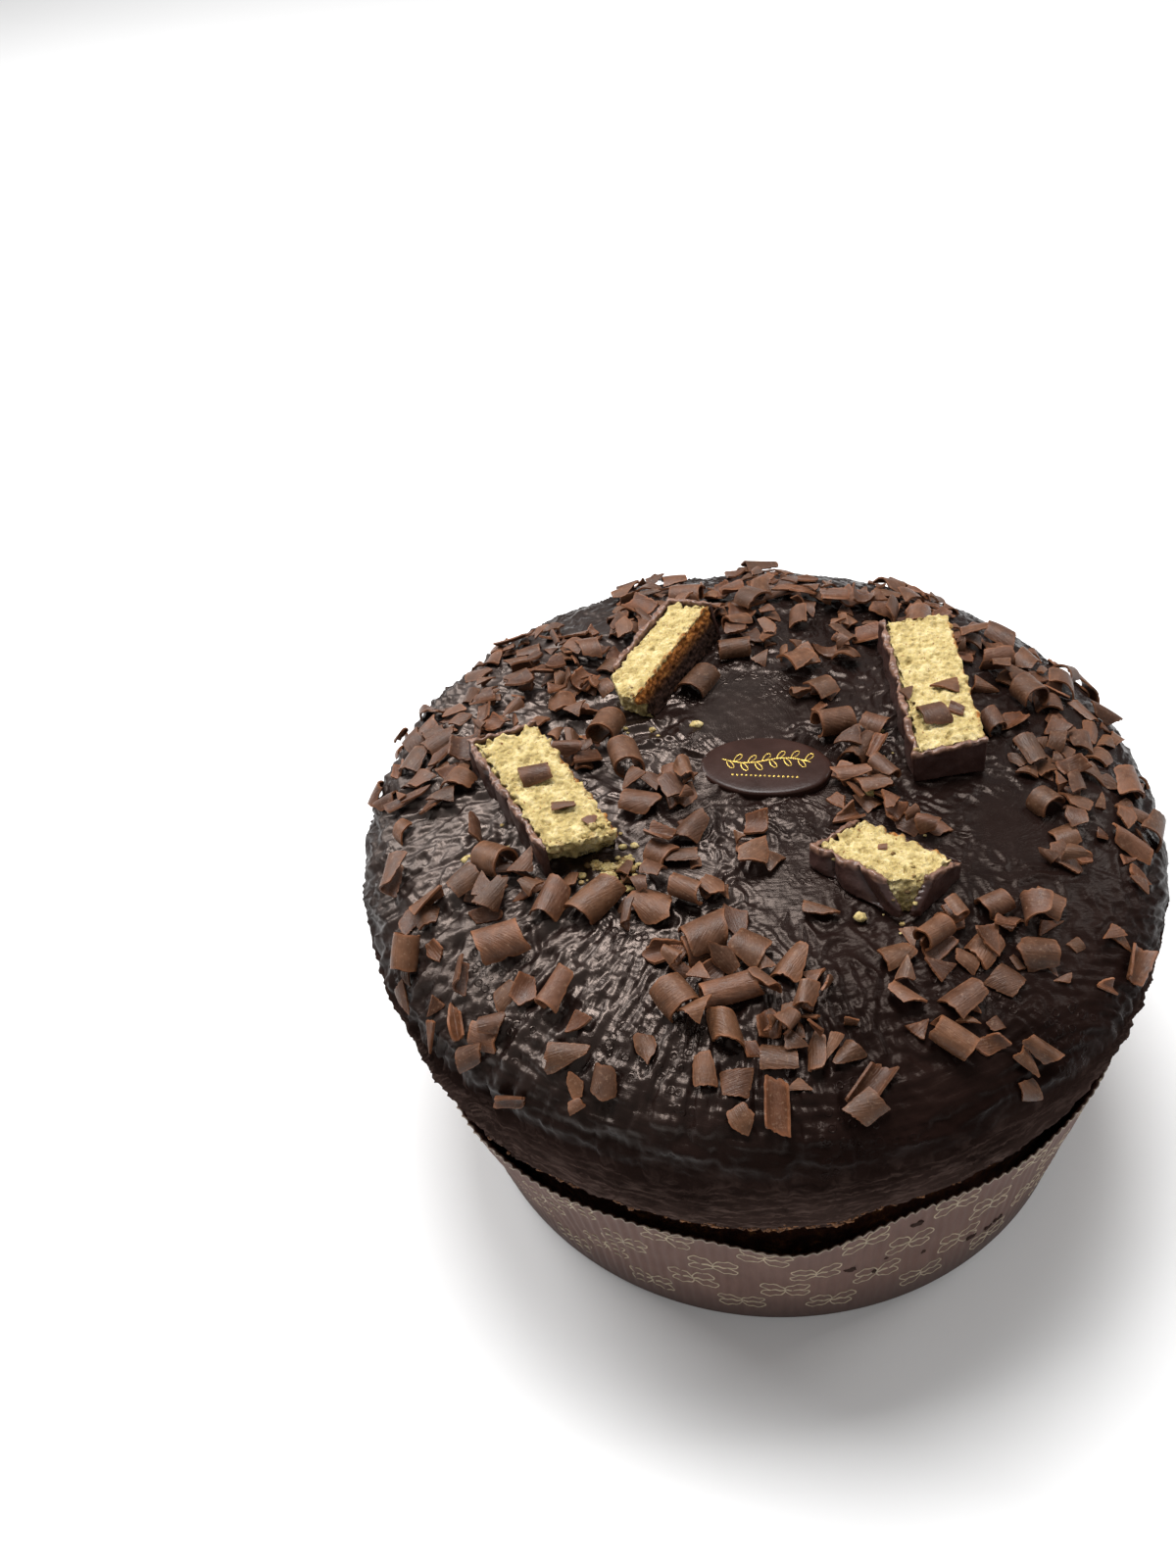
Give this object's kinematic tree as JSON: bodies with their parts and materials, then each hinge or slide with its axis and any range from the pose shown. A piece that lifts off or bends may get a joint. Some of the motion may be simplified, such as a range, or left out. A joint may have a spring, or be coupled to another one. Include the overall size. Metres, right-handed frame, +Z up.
{
  "type": "glazed panettone",
  "caption": "Round domed sweet loaf in a low pleated paper case, glazed with dark chocolate and topped with rolled chocolate curls, cut sponge bars and an oval chocolate plaque.",
  "frame": {"origin": "centre of the paper case's base, on the surface it stands on", "axes": "+Z up through the dome, -Y is the front that the plaque and the chunk of sponge face, +X to the right seen from the front"},
  "size_m": [0.2298, 0.2298, 0.1442],
  "materials": {
    "case_paper": "matte corrugated baking paper",
    "crust": "dry baked crust",
    "glaze": "satin dark chocolate",
    "plaque": "smooth dark chocolate with a gold print",
    "sponge": "porous cake crumb",
    "coat": "satin chocolate coating",
    "curl": "matte milk chocolate"
  },
  "bodies": {
    "root": {"paper_case": "case_paper", "loaf": "crust", "chocolate_glaze": "glaze", "plaque": "plaque", "bar_1_sponge": "sponge", "bar_1_coat": "coat", "bar_2_sponge": "sponge", "bar_2_coat": "coat", "bar_3_sponge": "sponge", "bar_3_coat": "coat", "bar_4_sponge": "sponge", "bar_4_coat": "coat", "curl_01": "curl", "curl_02": "curl", "curl_03": "curl", "curl_04": "curl", "curl_05": "curl", "curl_06": "curl", "curl_07": "curl", "curl_08": "curl", "curl_09": "curl", "curl_10": "curl", "curl_11": "curl", "curl_12": "curl", "curl_13": "curl", "curl_14": "curl", "curl_15": "curl", "curl_16": "curl", "curl_17": "curl", "curl_18": "curl", "curl_19": "curl", "curl_20": "curl", "curl_21": "curl", "curl_22": "curl", "curl_23": "curl", "curl_24": "curl", "curl_25": "curl", "curl_26": "curl", "curl_27": "curl", "curl_28": "curl", "curl_29": "curl", "curl_30": "curl", "curl_31": "curl", "curl_32": "curl", "curl_33": "curl", "curl_34": "curl", "curl_35": "curl", "curl_36": "curl", "curl_37": "curl", "curl_38": "curl", "curl_39": "curl", "curl_40": "curl", "crumb_01": "sponge", "crumb_02": "sponge", "crumb_03": "sponge", "crumb_04": "sponge"}
  },
  "joints": []
}
